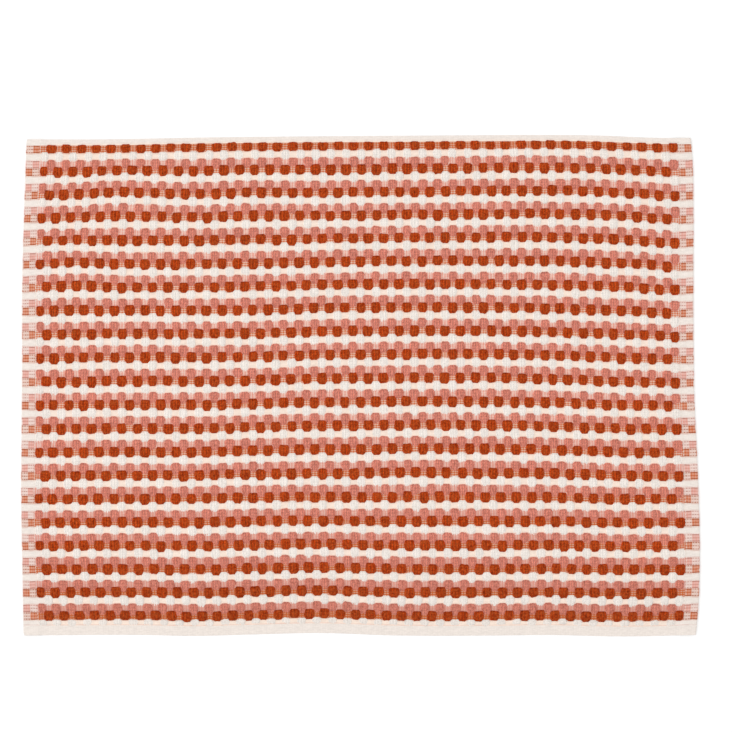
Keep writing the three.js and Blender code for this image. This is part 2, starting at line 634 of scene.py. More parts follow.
def ground_columns(layout):
    """The ground's grid lines along the towel, from the end of one turned hem to the other.
    Each is (place on the mean rectangle, column coordinate, height over the top of the hem)."""
    columns = layout.pile_columns
    edge = layout.ground_thickness / MM / 2 - LENGTH / 2
    turning = layout.hem_turning / MM
    turned = []
    for share in np.linspace(0, 1, TURNING_LINES):
        inset = FOLD_RADIUS + (turning - FOLD_RADIUS) * (1 - share)
        turned.append((edge + inset, -2 - inset / HEM_COLUMN, -2 * FOLD_RADIUS))
    for degrees in FOLD_TURNS:
        turn = math.radians(degrees)
        x = edge + FOLD_RADIUS * (1 - math.cos(turn))
        turned.append((x, -2, FOLD_RADIUS * (math.sin(turn) - 1)))

    # A column between the hems has two grid lines, and each of the two in a hem has four
    in_hem = np.arange(1, 9) / 4
    u = np.concatenate((-in_hem[::-1], np.arange(2 * columns + 1) / 2, columns + in_hem))
    limit = -edge - FOLD_RADIUS
    flat = [(x, column, 0) for x, column in zip(np.clip(lattice_x(layout, u), -limit, limit), u)]
    mirrored = [(-x, columns - column, drop) for x, column, drop in turned[::-1]]
    return turned + flat + mirrored


def ground_rows(layout):
    """The ground's grid lines across the towel: (row coordinate, share of the full thickness)."""
    far = layout.far_selvedge / MM
    near = layout.near_selvedge / MM
    last = layout.rows + 1
    lines = [(inset / far - 1, share) for inset, share in THIN_LINES]
    lines += [(inset / far - 1, 1) for inset in FAR_LINES]
    lines += [(step / 2, 1) for step in range(2 * layout.rows + 1)]
    lines += [(last - inset / near, 1) for inset in NEAR_LINES]
    lines += [(last - inset / near, share) for inset, share in THIN_LINES[::-1]]
    return lines


def ground_mesh(layout):
    """The flat weave as one closed sheet, turned under at both hems."""
    columns = ground_columns(layout)
    rows = ground_rows(layout)
    x, u, drop = np.array(columns, float).T[:, None, :] + np.zeros((len(rows), 1))
    v, share = np.array(rows, float).T[:, :, None] + np.zeros(len(columns))
    y = lattice_y(layout, v)
    z = ground_height(layout, x, y) + drop

    # The puckers come one to every two columns
    from_edge = y + WIDTH / 2
    band = layout.near_selvedge / MM
    fade = 1 - smoothstep(from_edge, band, band + PUCKER_FADE)
    pucker = smoothstep(from_edge, PUCKER_START, band) * fade
    wave = 0.5 + 0.5 * np.cos(math.pi * u + PUCKER_WANDER * np.sin(PUCKER_RATE * u))
    z += PUCKER_HEIGHT * pucker * wave * (drop == 0)

    middle = np.stack((x, y, z), axis=2)
    along = np.gradient(middle, axis=1)
    across = np.gradient(middle, axis=0)
    normal = np.cross(across, along)
    normal /= np.linalg.norm(normal, axis=2, keepdims=True)
    half = layout.ground_thickness / MM / 2 * share[..., None]
    outside = middle + normal * half
    inside = middle - normal * half

    layer = len(rows) * len(columns)
    (a, b, c, d), rim = grid_corners(len(rows), len(columns))
    top = np.stack((a, d, c, b), axis=1)
    under = np.stack((a, b, c, d), axis=1) + layer
    onward = np.roll(rim, -1)
    wall = np.stack((rim, onward, onward + layer, rim + layer), axis=1)
    faces = np.concatenate((top, under, wall))

    points = np.concatenate((outside.reshape(-1, 3), inside.reshape(-1, 3)))
    lying_x, lying_y = spread_out(points[:, 0], points[:, 1])
    points = np.stack((lying_x, lying_y, np.maximum(points[:, 2], 0)), axis=1) * MM
    mesh = smooth_mesh("ground_weave", points.tolist(), faces.tolist())

    # The weave map counts columns and rows. On the inside the blocks change places, so it is
    # one column further on. The selvedges take their numbers from the middle of a cream row.
    column = np.concatenate((u.ravel(), u.ravel() + 1))
    row = np.concatenate((v.ravel(), v.ravel()))
    weave = np.stack((column[faces], row[faces]), axis=2)
    middle_row = row[faces].mean(axis=1)
    far_band = middle_row < 0
    near_band = middle_row > layout.rows
    far_cream = -1.5
    near_cream = layout.rows + 2.5
    weave[far_band, :, 1] = far_cream + CREAM_SLICE * (weave[far_band, :, 1] + 0.5)
    weave[near_band, :, 1] = near_cream + CREAM_SLICE * (weave[near_band, :, 1] - layout.rows - 0.5)
    new_map(mesh, "Weave", weave)

    # The bake map gives the top the larger part of the square and the underside the rest
    i = np.arange(layer) % len(columns) / (len(columns) - 1)
    j = 1 - np.arange(layer) // len(columns) / (len(rows) - 1)
    bake_x = BAKE_ALONG[0] + BAKE_ALONG[1] * i
    place = np.concatenate(
        [np.stack((bake_x, start + size * j), axis=1) for start, size in (BAKE_TOP, BAKE_UNDER)]
    )
    bake = place[faces]
    bake[len(top) + len(under) :] = place[np.stack((rim, onward, onward, rim), axis=1)]
    bake[len(top) + len(under) :, 2:] *= BAKE_WALL
    new_map(mesh, "OFBake", bake)

    between_hems = (u.ravel() >= 0) & (u.ravel() <= layout.pile_columns)
    between_selvedges = (v.ravel() >= 0) & (v.ravel() <= layout.rows)
    mark_points(mesh, "body", np.tile(between_hems & between_selvedges, 2))
    from_hem = np.minimum(u.ravel(), layout.pile_columns - u.ravel())
    warmth = smoothstep(from_hem, 0, WARMTH_COLUMNS) * between_selvedges
    mark_points(mesh, "warmth", np.tile(warmth, 2))
    mark_points(mesh, "packing", np.tile(np.interp(v.ravel(), *np.array(PACKING_AND_SHADE).T), 2))
    return mesh


def ground_material(yarns):
    """Cotton plain weave. Coloured weft lies over a cream warp, dense where the blocks stand and
    thin lines elsewhere, so the ground looks pale and striped between the blocks. Threads of
    0.5 mm wouldn't show, so they are drawn coarser: three warp lines to a column of 8 mm, and
    three or four weft lines to a row."""
    material, tree, shader = new_material("cotton plain weave", 0.9, 0.2)

    # The lines of the weave stray within a tenth of a column and a seventh of a row
    weave = add(tree, "ShaderNodeUVMap", uv_map="Weave")
    place = add(tree, "ShaderNodeTexCoord").outputs["Object"]
    wander = add(
        tree, "ShaderNodeTexNoise", {"Vector": place, "Scale": fineness(BEND_SIZE), "Detail": 2.0}
    )
    centred = add(
        tree,
        "ShaderNodeVectorMath",
        {0: wander.outputs["Color"], 1: (0.5, 0.5, 0.5)},
        operation="SUBTRACT",
    )
    strayed = add(
        tree,
        "ShaderNodeVectorMath",
        {0: centred, 1: (0.1, 0.14, 0.0), 2: weave.outputs["UV"]},
        operation="MULTIPLY_ADD",
    )
    parts = add(tree, "ShaderNodeSeparateXYZ", {0: strayed})
    column = parts.outputs["X"]
    row = parts.outputs["Y"]

    # Which yarn the row has
    body = add(tree, "ShaderNodeAttribute", attribute_name="body").outputs["Fac"]
    warmth = add(tree, "ShaderNodeAttribute", attribute_name="warmth").outputs["Fac"]
    base = add(
        tree,
        "ShaderNodeMix",
        {"Factor": warmth, "A": (*yarns.ground, 1), "B": (*yarns.warp, 1)},
        data_type="RGBA",
    )
    third = add(tree, "ShaderNodeMath", {0: row, 1: 1 / 3}, operation="MULTIPLY")
    third = add(tree, "ShaderNodeMath", {0: third}, operation="FRACT")
    yarn = add(tree, "ShaderNodeValToRGB", {0: third})
    stops = yarn.color_ramp.elements
    stops[0].color = (*yarns.rust_weft, 1)
    stops[1].color = (*yarns.pink_weft, 0.9)
    for position, weft, amount in (
        (0.325, yarns.rust_weft, 1),
        (0.345, yarns.rust_weft, 0.36),
        (0.42, yarns.rust_weft, 0),
        (0.6, yarns.pink_weft, 0),
        (0.655, yarns.pink_weft, 0.28),
        (0.675, yarns.pink_weft, 0.9),
    ):
        stops.new(position).color = (*weft, amount)

    # Dense cells are those where the numbers of row and column add up to an odd one
    whole_column = add(tree, "ShaderNodeMath", {0: column}, operation="FLOOR")
    whole_row = add(tree, "ShaderNodeMath", {0: row}, operation="FLOOR")
    both = add(tree, "ShaderNodeMath", {0: whole_column, 1: whole_row}, operation="ADD")
    half = add(tree, "ShaderNodeMath", {0: both, 1: 0.5}, operation="MULTIPLY")
    dense = add(tree, "ShaderNodeMath", {0: half}, operation="FRACT")

    # In the hems a row has three tie threads, 0.4 rows apart, which the warp cuts into dashes. A
    # dense cell is filled between them, and a light cell shows the dashes alone.
    share = add(tree, "ShaderNodeMath", {0: row}, operation="FRACT")
    ties = share
    for operation, amount in (("SUBTRACT", 0.1), ("MULTIPLY", 2.5), ("PINGPONG", 0.5)):
        ties = add(tree, "ShaderNodeMath", {0: ties, 1: amount}, operation=operation)
    ties = add(tree, "ShaderNodeMapRange", {0: ties, 1: 0.06, 2: 0.22, 3: 1.0, 4: 0.0})
    warp = add(tree, "ShaderNodeMath", {0: column, 1: 6.0}, operation="MULTIPLY")
    warp = add(tree, "ShaderNodeMath", {0: warp, 1: 1.0}, operation="PINGPONG")
    cut = add(tree, "ShaderNodeMapRange", {0: warp, 1: 0.25, 2: 0.65, 3: 0.2, 4: 1.0})
    patchy = add(
        tree, "ShaderNodeTexNoise", {"Vector": place, "Scale": fineness(PATCH_SIZE), "Detail": 2.0}
    )
    patchy = add(tree, "ShaderNodeMapRange", {0: patchy, 1: 0.35, 2: 0.65, 3: 0.55, 4: 1.2})
    cut = add(tree, "ShaderNodeMath", {0: cut, 1: patchy}, operation="MULTIPLY")
    dashes = add(tree, "ShaderNodeMath", {0: ties, 1: cut}, operation="MULTIPLY")
    dense = add(tree, "ShaderNodeMath", {0: dense, 1: 0.25}, operation="GREATER_THAN")
    light_cover = add(tree, "ShaderNodeMapRange", {0: dashes, 1: 0.0, 2: 1.0, 3: 0.29, 4: 0.96})
    filled = add(tree, "ShaderNodeMath", {0: cut, 1: ties}, operation="ADD")
    dense_cover = add(tree, "ShaderNodeMapRange", {0: filled, 1: 0.2, 2: 1.6, 3: 0.7, 4: 1.0})
    hem_cover = add(tree, "ShaderNodeMix", {"Factor": dense, "A": light_cover, "B": dense_cover})

    # Between the blocks four weft yarns to a row lie over the warp. They make lines along the
    # rust rows, while in the pink rows the lines of the warp are the stronger ones.
    weft = add(tree, "ShaderNodeMath", {0: row, 1: 8.0}, operation="MULTIPLY")
    weft = add(tree, "ShaderNodeMath", {0: weft, 1: 1.0}, operation="PINGPONG")
    over = add(tree, "ShaderNodeMapRange", {0: third, 1: 0.5, 2: 0.6, 3: 1.2, 4: 0.45})
    under = add(tree, "ShaderNodeMapRange", {0: third, 1: 0.5, 2: 0.6, 3: -0.15, 4: 0.05})
    floats = add(tree, "ShaderNodeMapRange", {0: weft, 1: 0.2, 2: 0.9, 3: over, 4: under})
    warp_share = add(tree, "ShaderNodeMapRange", {0: third, 1: 0.5, 2: 0.6, 3: 1.25, 4: 1.8})
    floats = add(tree, "ShaderNodeMath", {0: cut, 1: warp_share, 2: floats}, operation="MULTIPLY_ADD")
    packing = add(tree, "ShaderNodeAttribute", attribute_name="packing").outputs["Fac"]
    floats = add(tree, "ShaderNodeMath", {0: packing, 1: 0.9, 2: floats}, operation="MULTIPLY_ADD")
    body_cover = add(tree, "ShaderNodeMapRange", {0: floats, 1: 0.0, 2: 2.1, 3: 0.18, 4: 1.0})
    cover = add(tree, "ShaderNodeMix", {"Factor": body, "A": hem_cover, "B": body_cover})
    cover = add(tree, "ShaderNodeMath", {0: cover, 1: yarn.outputs["Alpha"]}, operation="MULTIPLY")
    cloth = add(
        tree, "ShaderNodeMix", {"Factor": cover, "A": base.outputs["Result"], "B": yarn}, data_type="RGBA"
    )

    # Painted shade: the weft lies deep where the warp crosses it, so the dashes are painted darker. A
    # dense cell is painted darkest along its outer tie threads, and the body where the weft is packed.
    # The hems and selvedges are painted darker by the packing share, most at the near selvedge, and the
    # gaps between the warp threads a little darker. Thick and thin places of the weft yarn make faint
    # streaks along the cloth.
    from_middle = add(tree, "ShaderNodeMath", {0: share, 1: 0.5}, operation="SUBTRACT")
    from_middle = add(tree, "ShaderNodeMath", {0: from_middle}, operation="ABSOLUTE")
    outer = add(tree, "ShaderNodeMapRange", {0: from_middle, 1: 0.0, 2: 0.4, 3: 0.4, 4: 1.1})
    lines = add(tree, "ShaderNodeMath", {0: ties, 1: outer}, operation="MULTIPLY")
    lines = add(tree, "ShaderNodeMix", {"Factor": dense, "A": dashes, "B": lines})
    hem_shade = add(tree, "ShaderNodeMapRange", {0: lines, 1: 0.0, 2: 1.0, 3: 0.02, 4: 0.42})
    body_shade = add(tree, "ShaderNodeMapRange", {0: packing, 1: 0.0, 2: 1.0, 3: 0.04, 4: 0.18})
    # The painted shade of the hems' tie threads and of the packed body
    depth = add(tree, "ShaderNodeMix", {"Factor": body, "A": hem_shade, "B": body_shade})
    shade = add(tree, "ShaderNodeMath", {0: depth, 1: yarn.outputs["Alpha"]}, operation="MULTIPLY")
    slubs = add(tree, "ShaderNodeMapping", {"Vector": place, "Scale": tuple(map(fineness, SLUB_SIZE))})
    slubs = add(tree, "ShaderNodeTexNoise", {"Vector": slubs, "Scale": 1.0, "Detail": 2.0})
    slubs = add(tree, "ShaderNodeMapRange", {0: slubs, 1: 0.3, 2: 0.7, 3: 0.94, 4: 1.06})
    shade = add(tree, "ShaderNodeMath", {0: slubs, 1: shade}, operation="SUBTRACT")
    # Painted shade: the hems and selvedges darker by the packing share, most at the near selvedge
    band = add(tree, "ShaderNodeMapRange", {0: body, 1: 0.0, 2: 1.0, 3: -0.035, 4: 0.0})
    shade = add(tree, "ShaderNodeMath", {0: band, 1: packing, 2: shade}, operation="MULTIPLY_ADD")
    # Painted shade: a little darker in the gaps between the threads of the warp
    warp_gap_shade = add(tree, "ShaderNodeMapRange", {0: warp, 1: 0.0, 2: 0.4, 3: 0.97, 4: 1.0})
    shade = add(tree, "ShaderNodeMath", {0: shade, 1: warp_gap_shade}, operation="MULTIPLY")
    colour = add(
        tree, "ShaderNodeVectorMath", {0: cloth.outputs["Result"], "Scale": shade}, operation="SCALE"
    )
    tree.links.new(colour.outputs[0], shader.inputs["Base Color"])

    # Threads of warp and weft stand up a little
    relief = add(tree, "ShaderNodeMath", {0: warp, 1: weft}, operation="SUBTRACT")
    bump = add(tree, "ShaderNodeBump", {"Height": relief, "Distance": WEAVE_RELIEF * MM, "Strength": 0.8})
    tree.links.new(bump.outputs[0], shader.inputs["Normal"])
    return material


# Blocks of loops


def block_mesh(kind, across, along, depth, down):
    """One block of loops, closed below, in mm about the row's line. across and along count its
    grid lines. down is -1 on the face of the towel and 1 on its back."""
    outline = np.array(BLOCKS[kind]["outline"], float)
    crest = np.array(BLOCKS[kind]["crest"], float)
    first = outline[0, 0]
    last = outline[-1, 0]
    rungs = np.linspace(first + BLOCK_WALL, last - BLOCK_WALL, along - 2)
    rungs = np.concatenate(((first,), rungs, (last,)))
    sides = np.concatenate(((-FOOT_SPAN,), np.linspace(-RIB_SPAN, RIB_SPAN, across - 2), (FOOT_SPAN,)))
    points = []
    heights = []
    maps = []
    counts = []
    for j, below in enumerate(rungs):
        half = np.interp(below, *outline.T)
        top = np.interp(below, *crest.T)
        for i, side in enumerate(sides):
            # Ribs run along the warp, and each is a line of loops
            rib = 0.5 + 0.5 * math.cos(math.pi * (i - 1))
            loop = 0.5 + 0.5 * math.cos(math.pi * (j - 1))
            height = rib * (0.5 + 0.5 * loop)
            # The block is nearly flat on top and rounds off towards its sides
            rounding = (1 - abs(side) ** 4) ** 0.5
            dome = BLOCK_SHOULDER + (1 - BLOCK_SHOULDER) * rounding
            z = top * dome - depth * (1 - height)
            # At the rim the block goes under the ground, and its loops take the foot's painted shade
            if i in (0, across - 1) or j in (0, along - 1):
                z = BLOCK_BASE
                height = BLOCKS[kind]["foot"]
            points.append((half * side, -below, -down * z))
            heights.append(height)
            maps.append((i / (across - 1), 1 - j / (along - 1)))
            counts.append((i / 2, j / 2))
    corners, rim = grid_corners(along, across)
    faces = np.stack(corners[::-1], axis=1).tolist()
    faces.append(rim.tolist())
    if down > 0:
        faces = [face[::-1] for face in faces]
    mesh = smooth_mesh("block", points, faces)
    # The heights, with the foot's value at the rim, are kept for painted shading: the material paints low
    # places darker and tops lighter
    mark_points(mesh, "loop_height", heights)
    corners = corner_points(mesh)

    # The base of the block, which is its last face, lies below its loops in the bake map's cell
    local = np.array(maps, float)[corners]
    base = len(mesh.loops) - len(rim)
    lift = np.array((0, LOOPS_START * CELL_SIZE))
    local[:base] = CELL_START + CELL_SIZE * local[:base] * np.array((1, LOOPS_SHARE)) + lift
    local[base:] = CELL_START + CELL_SIZE * local[base:] * np.array((1, BASE_SHARE))
    new_map(mesh, "Block", local)

    # This map counts the ribs and the loops in them
    new_map(mesh, "Loops", np.array(counts)[corners])
    return mesh


def block_places(layout, kind, parity):
    """Places of the blocks of one colour, in mm, with the share of a full size that each has."""
    places = []
    shares = []
    for row in range(ROW_KINDS.index(kind), layout.rows, len(ROW_KINDS)):
        y = float(lattice_y(layout, row))
        full = float(lattice_y(layout, 0) - lattice_y(layout, 1))
        share = float(lattice_y(layout, row) - lattice_y(layout, row + 1)) / full
        if row == 0:
            y -= FIRST_DROP
            share *= FIRST_SHARE
        elif row == layout.rows - 2:
            share *= LAST_SHARE
        for column in range(layout.pile_columns):
            if (row + column) % 2 != parity:
                continue
            x = float(lattice_x(layout, column + 0.5))
            if column == 0:
                places.append((x + HEM_SHIFT, y, 0))
                shares.append((HEM_SHARES[0], HEM_SHARES[1] * share, 1))
            else:
                places.append((x, y, 0))
                shares.append((1, share, 1))
    mesh = bpy.data.meshes.new("block places")
    mesh.from_pydata(places, [], [])
    attribute = mesh.attributes.new("size_share", "FLOAT_VECTOR", "POINT")
    attribute.data.foreach_set("vector", np.array(shares, np.float32).ravel())
    return mesh


def terry_tree():
    """Puts a block on each place, turned, sized and tinted a little differently from the next."""
    inputs = {
        "Geometry": "Geometry",
        "Block": "Object",
        "Scatter": "Float",
        "Turn": "Float",
        "Size spread": "Float",
        "Unevenness": "Float",
        "Lump size": "Float",
        "Seed": "Int",
        "Material": "Material",
    }
    tree = new_tree("Terry blocks", inputs)
    given = add(tree, "NodeGroupInput").outputs
    seeds = [
        add(tree, "FunctionNodeIntegerMath", {0: given["Seed"], 1: step}, operation="ADD")
        for step in range(4)
    ]
    stray = add(
        tree,
        "FunctionNodeRandomValue",
        {0: (-1, -1, 0), 1: (1, 1, 0), "Seed": seeds[0]},
        data_type="FLOAT_VECTOR",
    )
    stray = add(tree, "ShaderNodeVectorMath", {0: stray, "Scale": given["Scatter"]}, operation="SCALE")
    places = add(tree, "GeometryNodeSetPosition", {"Geometry": given["Geometry"], "Offset": stray})
    turn = add(tree, "FunctionNodeRandomValue", {2: -1.0, 3: 1.0, "Seed": seeds[1]}, data_type="FLOAT")
    turn = add(tree, "ShaderNodeMath", {0: turn.outputs[1], 1: given["Turn"]}, operation="MULTIPLY")
    turn = add(tree, "ShaderNodeCombineXYZ", {"Z": turn})
    size = add(
        tree,
        "FunctionNodeRandomValue",
        {0: (-1, -1, -1), 1: (1, 1, 1), "Seed": seeds[2]},
        data_type="FLOAT_VECTOR",
    )
    size = add(tree, "ShaderNodeVectorMath", {0: size, "Scale": given["Size spread"]}, operation="SCALE")
    size = add(tree, "ShaderNodeVectorMath", {0: size, 1: (1, 1, 1)}, operation="ADD")
    share = add(tree, "GeometryNodeInputNamedAttribute", {"Name": "size_share"}, data_type="FLOAT_VECTOR")
    size = add(tree, "ShaderNodeVectorMath", {0: size, 1: share}, operation="MULTIPLY")
    block = add(tree, "GeometryNodeObjectInfo", {"Object": given["Block"]})
    blocks = add(
        tree,
        "GeometryNodeInstanceOnPoints",
        {"Points": places, "Instance": block.outputs["Geometry"], "Rotation": turn, "Scale": size},
    )
    tint = add(tree, "FunctionNodeRandomValue", {2: -1.0, 3: 1.0, "Seed": seeds[3]}, data_type="FLOAT")
    tinted = add(
        tree,
        "GeometryNodeStoreNamedAttribute",
        {"Geometry": blocks, "Name": "tint", "Value": tint.outputs[1]},
        data_type="FLOAT",
        domain="INSTANCE",
    )
    number = add(tree, "GeometryNodeInputIndex")
    numbered = add(
        tree,
        "GeometryNodeStoreNamedAttribute",
        {"Geometry": tinted, "Name": "block", "Value": number},
        data_type="INT",
        domain="INSTANCE",
    )
    real = add(tree, "GeometryNodeRealizeInstances", {"Geometry": numbered})

    # The loops of a block lean this way and that
    position = add(tree, "GeometryNodeInputPosition")
    scale = add(tree, "ShaderNodeMath", {0: 1.0, 1: given["Lump size"]}, operation="DIVIDE")
    lumps = add(tree, "ShaderNodeTexNoise", {"Vector": position, "Scale": scale, "Detail": 1.0})
    lumps = add(
        tree,
        "ShaderNodeVectorMath",
        {0: lumps.outputs["Color"], 1: (0.5, 0.5, 0.5)},
        operation="SUBTRACT",
    )
    lumps = add(tree, "ShaderNodeVectorMath", {0: lumps, "Scale": given["Unevenness"]}, operation="SCALE")
    uneven = add(tree, "GeometryNodeSetPosition", {"Geometry": real, "Offset": lumps})
    dyed = add(tree, "GeometryNodeSetMaterial", {"Geometry": uneven, "Material": given["Material"]})
    add(tree, "NodeGroupOutput", {0: dyed})
    return tree


def terry_mesh(layout, pile, tree, kind, side, material):
    """All blocks of one colour on one side of the towel, as one plain mesh."""
    on_face = side == "face"
    down = -1 if on_face else 1
    grid = FACE_GRID if on_face else BACK_GRID
    places = block_places(layout, kind, 1 if on_face else 0)
    count = len(places.vertices)
    mesh = repeated(
        tree,
        "Block",
        block_mesh(kind, *grid, pile.rib_depth / MM, down),
        places,
        {
            "Scatter": pile.scatter / MM,
            "Turn": pile.turn,
            "Size spread": pile.size_spread,
            "Unevenness": pile.unevenness / MM,
            "Lump size": pile.lump_size / MM,
            "Seed": pile.seed + COLOUR_SEED * ROW_KINDS.index(kind) + (0 if on_face else BACK_SEED),
            "Material": material,
        },
    )
    points = get_points(mesh)
    points[:, 2] = down * np.minimum(down * points[:, 2], LOOP_FOOT)
    # Painted shade: the loops are made darker towards the near selvedge
    heights = mesh.attributes["loop_height"].data
    rise = read(heights, "value")
    rise *= 1 - SHADE_DEPTH * smoothstep(-points[:, 1], SHADED_FROM, SHADED_FULL)
    heights.foreach_set("value", rise)
    set_points(mesh, lay_down(layout, points))
    spread_maps(mesh, count)
    mesh.name = f"{kind}_terry_{side}"
    return mesh


def spread_maps(mesh, count):
    """Gives each block its own cell of the bake map and its own loops."""
    cells = math.ceil(math.sqrt(count))
    number = read(mesh.attributes["block"].data, "value", kind=np.int32)[corner_points(mesh)]
    cell = np.stack((number % cells, number // cells), axis=1)
    new_map(mesh, "OFBake", (read(mesh.uv_layers["Block"].data, "uv", 2) + cell) / cells)

    # The loops of each block are counted on from those of the block before
    counted = mesh.uv_layers["Loops"].data
    loops = read(counted, "uv", 2) + cell * LOOPS_APART
    counted.foreach_set("uv", loops.astype(np.float32).ravel())


def terry_material(kind, yarn):
    """Cotton terry: matt loops with pale specks, partly fibre ends and partly painted highlights. Painted
    shading makes the tops of the loops lighter and their valleys, the feet of the blocks and the gaps
    where the loops meet darker. No two blocks took the dye alike, and fine mottling stands for the yarn's
    twist. A real twist of 0.5 mm wouldn't show, so the mottling is twice as coarse."""
    material, tree, shader = new_material(f"{kind} cotton terry", 0.95, 0.15)
    finish = TERRY_FINISHES[kind]
    contrast = finish["contrast"]
    place = add(tree, "ShaderNodeTexCoord").outputs["Object"]
    twist = add(
        tree, "ShaderNodeTexNoise", {"Vector": place, "Scale": fineness(TWIST_SIZE), "Detail": 3.0}
    )
    drawn = add(tree, "ShaderNodeMapping", {"Vector": place, "Scale": tuple(map(fineness, DRAWN_SIZE))})
    streak = add(tree, "ShaderNodeTexNoise", {"Vector": drawn, "Scale": 1.0, "Detail": 1.0})
    both = add(tree, "ShaderNodeMath", {0: streak, 1: 0.6, 2: twist}, operation="MULTIPLY_ADD")
    tint = add(tree, "ShaderNodeAttribute", attribute_name="tint")
    # The loops' height as painted shading: tops lighter, valleys and the feet of the blocks darker
    rise = add(tree, "ShaderNodeAttribute", attribute_name="loop_height")

    # Each cell is one loop, and painted shade darkens the gaps where the loops meet
    counted = add(tree, "ShaderNodeUVMap", uv_map="Loops")
    loops = add(
        tree,
        "ShaderNodeTexVoronoi",
        {"Vector": counted.outputs["UV"], "Scale": 1.0, "Randomness": 0.35},
        voronoi_dimensions="2D",
    )

    # The mottling, the dye, the painted light and shade of the loops' tops and valleys, and the painted
    # shade of the gaps: from what each goes, its range, and how much darker and lighter than the plain
    # yarn it makes the two ends of that range
    factors = []
    for source, low, high, darker, lighter in (
        (both, 0.6, 1.0, 0.28, 0.24),
        (tint.outputs["Fac"], -1.0, 1.0, 0.05, 0.05),
        (rise.outputs["Fac"], 0.0, 1.0, 0.42, 0.38),
        (loops.outputs["Distance"], 0.35, 0.7, 0.0, -0.38),
    ):
        ends = {3: 1 - darker * contrast, 4: 1 + lighter * contrast}
        factors.append(add(tree, "ShaderNodeMapRange", {0: source, 1: low, 2: high, **ends}))
    value = factors[0]
    for factor in factors[1:]:
        value = add(tree, "ShaderNodeMath", {0: value, 1: factor}, operation="MULTIPLY")
    colour = add(tree, "ShaderNodeVectorMath", {0: tuple(yarn), "Scale": value}, operation="SCALE")

    # Pale specks scattered by noise: partly fibre ends, partly painted highlights
    fibres_and_highlights = add(
        tree, "ShaderNodeTexNoise", {"Vector": place, "Scale": fineness(FIBRE_SIZE), "Detail": 2.0}
    )
    fibres_and_highlights = add(tree, "ShaderNodeMapRange", {0: fibres_and_highlights, 1: 0.38, 2: 0.62, 3: 0.0, 4: finish["fibre_and_highlight_amount"]})
    fibre_and_highlight_colour = (*linear(finish["fibre_and_highlight_colour"]), 1)
    colour = add(tree, "ShaderNodeMix", {"Factor": fibres_and_highlights, "A": colour, "B": fibre_and_highlight_colour}, data_type="RGBA")
    tree.links.new(colour.outputs["Result"], shader.inputs["Base Color"])
    relief = add(
        tree,
        "ShaderNodeMath",
        {0: loops.outputs["Distance"], 1: -1.5, 2: twist},
        operation="MULTIPLY_ADD",
    )
    bump = add(tree, "ShaderNodeBump", {"Height": relief, "Distance": LOOP_RELIEF * MM, "Strength": 0.7})
    tree.links.new(bump.outputs[0], shader.inputs["Normal"])
    return material


# Seams of the hems


def stitch_mesh():
    """One stitch as a bent thread along Y, in mm about the surface that it lies on."""
    points = []
    for share in STITCH_RINGS:
        middle = STITCH_RISE - STITCH_DIP * share * share
        for step in range(THREAD_SIDES):
            turn = 2 * math.pi * step / THREAD_SIDES
            x = THREAD_RADIUS * math.cos(turn)
            points.append((x, STITCH_HALF * share, middle + THREAD_RADIUS * math.sin(turn)))
    last = (len(STITCH_RINGS) - 1) * THREAD_SIDES
    faces = [list(range(THREAD_SIDES)), list(range(last, last + THREAD_SIDES))[::-1]]
    for ring in range(0, last, THREAD_SIDES):
        for step in range(THREAD_SIDES):
            a = ring + step
            b = ring + (step + 1) % THREAD_SIDES
            faces.append([a, a + THREAD_SIDES, b + THREAD_SIDES, b])
    return smooth_mesh("stitch", points, faces)


def seam_tree():
    """Puts a stitch on each place along a line."""
    inputs = {
        "Geometry": "Geometry",
        "Stitch": "Object",
        "Start": "Vector",
        "Pitch": "Float",
        "Count": "Int",
        "Turn": "Float",
        "Seed": "Int",
        "Material": "Material",
    }
    tree = new_tree("Seam", inputs)
    given = add(tree, "NodeGroupInput").outputs
    pitch = add(tree, "ShaderNodeCombineXYZ", {"Y": given["Pitch"]})
    line = add(
        tree,
        "GeometryNodeMeshLine",
        {"Count": given["Count"], "Start Location": given["Start"], "Offset": pitch},
    )
    turn = add(
        tree, "FunctionNodeRandomValue", {2: -1.0, 3: 1.0, "Seed": given["Seed"]}, data_type="FLOAT"
    )
    turn = add(tree, "ShaderNodeMath", {0: turn.outputs[1], 1: given["Turn"]}, operation="MULTIPLY")
    turn = add(tree, "ShaderNodeCombineXYZ", {"Z": turn})
    stitch = add(tree, "GeometryNodeObjectInfo", {"Object": given["Stitch"]})
    stitches = add(
        tree,
        "GeometryNodeInstanceOnPoints",
        {"Points": line, "Instance": stitch.outputs["Geometry"], "Rotation": turn},
    )
    real = add(tree, "GeometryNodeRealizeInstances", {"Geometry": stitches})
    sewn = add(tree, "GeometryNodeSetMaterial", {"Geometry": real, "Material": given["Material"]})
    add(tree, "NodeGroupOutput", {0: sewn})
    return tree


def seam_mesh(layout, side, seed, tree, material):
    """The stitches along one hem, laid on the cloth. side is -1 for the left hem and 1 for the
    right one."""
    run = WIDTH - 2 * SEAM_MARGIN
    mesh = repeated(
        tree,
        "Stitch",
        stitch_mesh(),
        bpy.data.meshes.new("line"),
        {
            "Start": (side * (LENGTH / 2 - SEAM_INSET), -run / 2, layout.ground_thickness / MM / 2),
            "Pitch": STITCH_PITCH,
            "Count": int(run / STITCH_PITCH) + 1,
            "Turn": STITCH_TURN,
            "Seed": seed,
            "Material": material,
        },
    )
    set_points(mesh, lay_down(layout, get_points(mesh)))
    mesh.name = "left_seam" if side < 0 else "right_seam"
    return mesh


